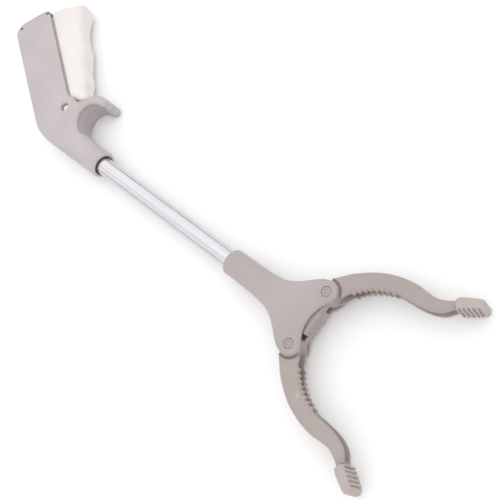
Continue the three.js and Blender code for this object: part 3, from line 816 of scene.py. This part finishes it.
def head_solid(x, y, z):
    """Both halves of the head in one, before they are parted."""
    round_part = smoothstep(46, 8, x)
    edge = HEAD_EDGE + (HEAD_RADIUS - 0.05 - HEAD_EDGE) * round_part ** 1.5
    half = HEAD_HALF + (HEAD_RADIUS - HEAD_HALF) * round_part
    solid = meet(plate(HEAD(x, y), z, half, edge), HEAD_START - x, 2.6)
    solid = cut(solid, plate(HEAD_CAVITY(x, y), z, HEAD_INNER, 0.6))
    solid = cut(solid, shaft(x, y, z, TUBE_RADIUS + GAP, HEAD_START - 5, HEAD_TUBE_STOP, 0.2))
    solid = cut(solid, shaft(x, y, z, ROD_HOLE, 0, 40, 0.2))
    side = np.abs(y)
    solid = cut(solid, disc(x, side, PIVOT, PIN_RADIUS + GAP), 0.4)
    recess = disc(x, side, PIVOT, PIN_HEAD_RADIUS + 0.2)
    return cut(solid, meet(recess, PIN_RECESS_FLOOR - np.abs(z), 0.2), 0.5)


def head_upper(x, y, z):
    solid = drilled(head_solid(x, y, z), x, y, z, HEAD_UPPER_HOLES)
    return meet(solid, GAP / 2 - z, 0.6)


def head_lower(x, y, z):
    solid = drilled(head_solid(x, y, z), x, y, z, HEAD_LOWER_HOLES)
    return meet(solid, z + GAP / 2, 0.6)


def make_head():
    low, high = (-7, -26.6, -9.2), (73, 26.6, 9.2)
    moulded("head_half_upper", head_upper, (*low[:2], 0), high, 0.42, 0.4,
            HEAD_GREY, "head_plastic", "handle", ["head_shell_upper"])
    moulded("head_half_lower", head_lower, low, (*high[:2], 0), 0.42, 0.4,
            HEAD_GREY, "head_plastic", "handle", ["head_shell_lower"])


def make_pivot_pins():
    """Pivot pins with a shallow dish in the middle of each domed head."""
    seat, rim, top = 8.25, 8.45, 8.98
    across = np.linspace(1.6, PIN_HEAD_RADIUS - 0.25, 6)
    dome = [(top - 0.35 * (r / PIN_HEAD_RADIUS) ** 4, r) for r in across]
    dish = [(8.75, 0.0), (8.75, 0.9), (8.7, 1.15), (rim, 1.25), (rim, 1.45)]
    head = [*dish, *dome, (rim, PIN_HEAD_RADIUS), (seat, PIN_HEAD_RADIUS), (seat, PIN_RADIUS)]
    foot = [(-seat, PIN_RADIUS), (-seat, PIN_HEAD_RADIUS), (-rim, PIN_HEAD_RADIUS)]
    foot += [(-along, radius) for along, radius in reversed([*dish, *dome])]
    for name, side in (("left", 1), ("right", -1)):
        lathe(f"pivot_pin_{name}", head + foot, (PIVOT[0], side * PIVOT[1], 0), "z",
              HEAD_GREY, "handle", [f"jaw_pivot_{name}"])


# ---------------------------------------------------------------- jaws

# The left jaw's lines, from the head to the tip.
JAW_OUTER = [(61.6, 27.0), (66.0, 31.4), (71.6, 37.0), (79.6, 43.1), (88.0, 47.7), (98, 50.9),
             (107.5, 52.3), (115, 51.9), (120.5, 51.7), (125.4, 53.1), (131.4, 56.4), (137.5, 60.2),
             (143.8, 63.2)]
JAW_INNER = [(100.6, 41.3), (108.4, 41.7), (116, 42.2), (123, 43.6), (129.3, 46.6), (133.2, 51.0),
             (136.6, 54.9), (140.6, 57.8), (145.6, 60.9)]
TOOTH_LINE = [(77.0, 26.2), (82.6, 32.4), (90.0, 37.6), (99.2, 41.5)]
TOOTH_COUNT = 8
TOOTH_HEIGHT = 1.5
TOOTH_LEAN = 62  # where a tooth's tip stands, in hundredths of its length
LEVER_FRONT = 68.9
LEVER_LOW = 2.4
LEVER_HIGH = 6.2
LEVER_WALL_LOW = 0.15
JAW_WALL = 2.2
JAW_WEB = 2.6
JAW_EDGE = 0.9
RIM_WIDER = 2.0  # how much wider the side walls are along the teeth
SHOULDER = (8.1, 0.7, 4.7)  # the groove around the pivot: radius, half width and floor
POCKET_END = 131.5
TANG_HALF = 4.2  # the jaw's thinner end, which the pad's sleeve holds


def evenly(line, count):
    """Points at equal steps along a line."""
    line = np.array(line)
    along = np.concatenate([[0], np.cumsum(np.hypot(*np.diff(line, axis=0).T))])
    steps = np.linspace(0, along[-1], count + 1)
    return np.stack([np.interp(steps, along, line[:, i]) for i in (0, 1)], axis=1)


def tooth_line():
    """Saw teeth, leaning towards the jaw's tip."""
    parts = 100
    line = evenly(spline(TOOTH_LINE, 12), TOOTH_COUNT * parts)
    points = []
    for i in range(TOOTH_COUNT):
        root = line[i * parts]
        tip = line[i * parts + TOOTH_LEAN]
        ahead = line[i * parts + TOOTH_LEAN + 1] - tip
        ahead = ahead / np.hypot(*ahead)
        points.append(tuple(root))
        points.append((tip[0] + TOOTH_HEIGHT * ahead[1], tip[1] - TOOTH_HEIGHT * ahead[0]))
    return points


def jaw_outline():
    return [
        *arc(PIVOT, 6.6, 300, 130, 20),
        *spline(JAW_OUTER),
        *reversed(spline(JAW_INNER)),
        *reversed(tooth_line()),
        (72.2, 18.2),
    ]


def jaw_pocket_outline():
    """The channel inside the jaw, open towards the other jaw."""
    line = np.array(spline(JAW_OUTER))
    ahead = np.gradient(line, axis=0)
    ahead /= np.hypot(*ahead.T)[:, None]
    floor = line + JAW_WEB * np.stack([ahead[:, 1], -ahead[:, 0]], axis=1)
    floor = [tuple(p) for p in floor[12:] if p[0] < POCKET_END]
    open_side = [(134.6, 52), (136, 44), (128, 40), (100, 34), (84, 24), (76, 12), (70.2, 13.4),
                 (70.4, 22.0)]
    return [*floor, *open_side]


def lever_outline():
    """A jaw's lever reaches past the shaft's axis, with a straight front edge across the head's mouth."""
    tip_radius = 4.2
    tip = (LEVER_FRONT - tip_radius, -5.2)
    return [*arc(PIVOT, 5.4, 190, 20, 16), (LEVER_FRONT, 14), *arc(tip, tip_radius, 0, -180, 16)]


def lever_wall_outline():
    """A thin wall along the lever's front edge, which closes the head's mouth."""
    rear = LEVER_FRONT - 1.5
    return [(rear, 14), (rear, -9.3), (LEVER_FRONT, -9.0), (LEVER_FRONT, 14)]


def lever_slot_path(count=8):
    """Where the crosshead pin runs in the lever, as the jaw closes and the rod is drawn back."""
    places = [(CROSS_PIN[0] - ROD_TRAVEL * i / count, 0) for i in range(count + 1)]
    return [turned(place, PIVOT, JAW_SWING * i / count) for i, place in enumerate(places)]


JAW = Outline(jaw_outline())
JAW_POCKET = Outline(jaw_pocket_outline())
LEVER = Outline(lever_outline())
LEVER_WALL = Outline(lever_wall_outline())
PAD_CUT = Outline([(131.9, 70), (131.9, 60), (132.05, 56.1), (133.25, 53.6), (135.4, 51.6), (136.2, 40),
                   (155, 40), (155, 70)])


def slab(flat, z, low, high, edge=0.4):
    return plate(flat, z - (low + high) / 2, (high - low) / 2, edge)


def jaw_solid(x, y, z):
    """The left jaw; its lever lies above the mid-plane."""
    flat = JAW(x, y)
    crown = 0.5 * smoothstep(-2.0, -0.2, flat) * smoothstep(70, 78, x)
    solid = plate(flat, z, JAW_HALF - crown, JAW_EDGE)
    rim = RIM_WIDER * smoothstep(76, 84, x) * smoothstep(110, 102, x)
    solid = cut(solid, plate(JAW_POCKET(x, y), z, JAW_HALF - JAW_WALL - rim, 0.8), 0.5)
    radius, half_width, floor = SHOULDER
    shoulder = np.abs(disc(x, y, PIVOT, radius)) - half_width
    solid = cut(solid, meet(shoulder, floor - np.abs(z), 0.3), 0.3)
    wall = slab(LEVER_WALL(x, y), z, LEVER_WALL_LOW, LEVER_HIGH)
    lever = join(slab(LEVER(x, y), z, LEVER_LOW, LEVER_HIGH), wall, 0.6)
    solid = join(solid, lever, 0.8)
    solid = cut(solid, slot_distance(x, y, lever_slot_path(), SLOT_RADIUS), 0.3)
    solid = cut(solid, disc(x, y, PIVOT, PIN_RADIUS + GAP), 0.3)
    return cut(solid, meet(PAD_CUT(x, y), TANG_HALF - np.abs(z), 0.2), 0.3)


RIBBED_FACE = ((135.8, 52.0), (147.6, 59.6))  # a pad's gripping face, from its root to its tip
GROOVE_FIRST = 1.6
GROOVE_PITCH = 2.7
GROOVE_HALF = 0.62
GROOVE_DEPTH = 1.0
GROOVE_COUNT = 5
PAD_EDGE = (1.3, 2.7)  # rounding at the pad's root and at its tip


def pad_outline():
    back = [(132.4, 56.2), (133.3, 58.8), (139.4, 62.4), (144.4, 64.8), (146.6, 64.3), (147.9, 62.2)]
    root, tip = RIBBED_FACE
    return [*spline(back, 4), tip, root, (133.6, 53.8)]


def pad_sleeve_outline():
    """The room inside a pad for the jaw's end."""
    inner = [(131, 50), (133.0, 50.0), (136.7, 54.5), (140.8, 57.4), (146.2, 60.8)]
    return [*inner, (144.1, 63.7), (137.4, 60.7), (131, 57.2)]


PAD = Outline(pad_outline())
PAD_SLEEVE = Outline(pad_sleeve_outline())


def pad_solid(x, y, z):
    """A soft tip with ribs across its gripping face."""
    root_edge, tip_edge = PAD_EDGE
    edge = root_edge + (tip_edge - root_edge) * smoothstep(142, 148, x)
    solid = plate(PAD(x, y), z, PAD_HALF, edge)
    solid = cut(solid, plate(PAD_SLEEVE(x, y), z, TANG_HALF + 0.4, 0.3), 0.3)
    (ax, ay), (bx, by) = RIBBED_FACE
    length = math.hypot(bx - ax, by - ay)
    ahead_x, ahead_y = (bx - ax) / length, (by - ay) / length
    along = (x - ax) * ahead_x + (y - ay) * ahead_y
    depth = (y - ay) * ahead_x - (x - ax) * ahead_y
    for i in range(GROOVE_COUNT):
        middle_line = GROOVE_FIRST + GROOVE_PITCH * i
        side = np.abs(along - middle_line) - GROOVE_HALF
        solid = cut(solid, meet(side, depth - GROOVE_DEPTH, 0.3), 0.25)
    return solid


def turned_over(shape):
    """The right-hand piece is the left-hand one turned over about the shaft."""
    return lambda x, y, z: shape(x, -y, -z)


def turned_over_box(low, high):
    return (low[0], -high[1], -high[2]), (high[0], -low[1], -low[2])


def make_jaws():
    jaw_box = (58, -10.0, -6.6), (148, 62.5, 6.6)
    pad_box = (132, 49.5, -9.8), (151.5, 65, 9.8)
    for name in ("left", "right"):
        jaw, pad, jaw_ends, pad_ends = jaw_solid, pad_solid, jaw_box, pad_box
        if name == "right":
            jaw, pad = turned_over(jaw), turned_over(pad)
            jaw_ends, pad_ends = turned_over_box(*jaw_box), turned_over_box(*pad_box)
        moulded(f"jaw_arm_{name}", jaw, *jaw_ends, 0.42, 0.45,
                JAW_GREY, "jaw_plastic", f"jaw_{name}", [f"jaw_{name}"])
        moulded(f"tip_pad_{name}", pad, *pad_ends, 0.3, 0.5,
                PAD_GREY, "pad_plastic", f"jaw_{name}", [f"jaw_pad_{name}"])


# ---------------------------------------------------------------- inner pieces

def dress_inner_nodes():
    """CAD pieces whose shape is right keep it, and take a finish."""
    finishes = {"handle_bush": NYLON, "head_bush": NYLON, "rod_yoke": NYLON, "crosshead": NYLON,
                "spring_collar": BRASS}
    for name, node in frame["nodes"].items():
        material = finishes.get(name, STEEL)
        node.data.materials.clear()
        node.data.materials.append(material)


# ---------------------------------------------------------------- stage

def make_camera():
    """Seen from above and from the jaws' end, turned so that the shaft runs down to the right."""
    tilt, roll = math.radians(32.0), math.radians(35.9)
    distance, lens, sensor = 0.588, 66.9, 36.0
    aim = ORIGIN + Vector((0, 0.0124, 0))
    view = Vector((-math.sin(tilt), 0, -math.cos(tilt)))
    across = Vector((math.cos(tilt), 0, -math.sin(tilt)))
    down = Vector((0, -1, 0))
    right = math.cos(roll) * across - math.sin(roll) * down
    under = math.sin(roll) * across + math.cos(roll) * down
    data = bpy.data.cameras.new("camera")
    data.lens = lens
    data.sensor_width = sensor
    data.clip_start = 0.01
    data.clip_end = 20
    camera = bpy.data.objects.new("camera", data)
    bpy.context.scene.collection.objects.link(camera)
    turn = Matrix((right, -under, -view)).transposed()
    camera.matrix_world = Matrix.Translation(aim - distance * view) @ turn.to_4x4()
    bpy.context.scene.camera = camera


def make_floor():
    reach, height = 6.0, -0.0002
    corners = [(reach * x, reach * y, height) for x, y in ((-1, -1), (1, -1), (1, 1), (-1, 1))]
    mesh = bpy.data.meshes.new("floor")
    mesh.from_pydata(corners, [], [(0, 1, 2, 3)])
    material, _, surface = shader("pale_floor")
    surface.inputs["Base Color"].default_value = (*grey(0.93), 1)
    surface.inputs["Roughness"].default_value = 0.9
    mesh.materials.append(material)
    floor = bpy.data.objects.new("floor", mesh)
    bpy.context.scene.collection.objects.link(floor)


def add_light(name, place, aim, size, power):
    data = bpy.data.lights.new(name, "AREA")
    data.shape = "DISK"
    data.size = size
    data.energy = power
    light = bpy.data.objects.new(name, data)
    bpy.context.scene.collection.objects.link(light)
    light.location = Vector(place)
    light.rotation_euler = (Vector(aim) - Vector(place)).to_track_quat("-Z", "Y").to_euler()


# The studio's brightness by height, as the sine of the angle above the horizon. The dark band low down
# draws the thin dark lines along the tube's edges.
STUDIO = [(0.0, 0.9), (0.006, 0.9), (0.01, 0.12), (0.1, 0.12), (0.15, 1.0), (0.35, 0.98), (0.5, 0.9),
          (0.7, 0.88), (0.95, 0.92)]


def make_light():
    """An even pale studio all around and one weak soft light from the handle's side."""
    world = bpy.data.worlds.new("studio")
    world.use_nodes = True
    tree = world.node_tree
    place = tree.nodes.new("ShaderNodeTexCoord")
    height = tree.nodes.new("ShaderNodeSeparateXYZ")
    tree.links.new(place.outputs["Generated"], height.inputs[0])
    sky = ramp(tree, height.outputs["Z"], [(step, grey(value)) for step, value in STUDIO])
    background = tree.nodes["Background"]
    tree.links.new(sky, background.inputs["Color"])
    background.inputs["Strength"].default_value = 1.34
    bpy.context.scene.world = world
    add_light("key", (-0.7, 0.25, 1.1), (0, 0, 0), 1.4, 1)
    bpy.context.scene.view_settings.view_transform = "Standard"


make_camera()
make_light()
make_floor()
dress_inner_nodes()
make_handle()
make_stop_pin()
make_trigger()
make_shaft()
make_return_spring()
make_head()
make_pivot_pins()
make_jaws()
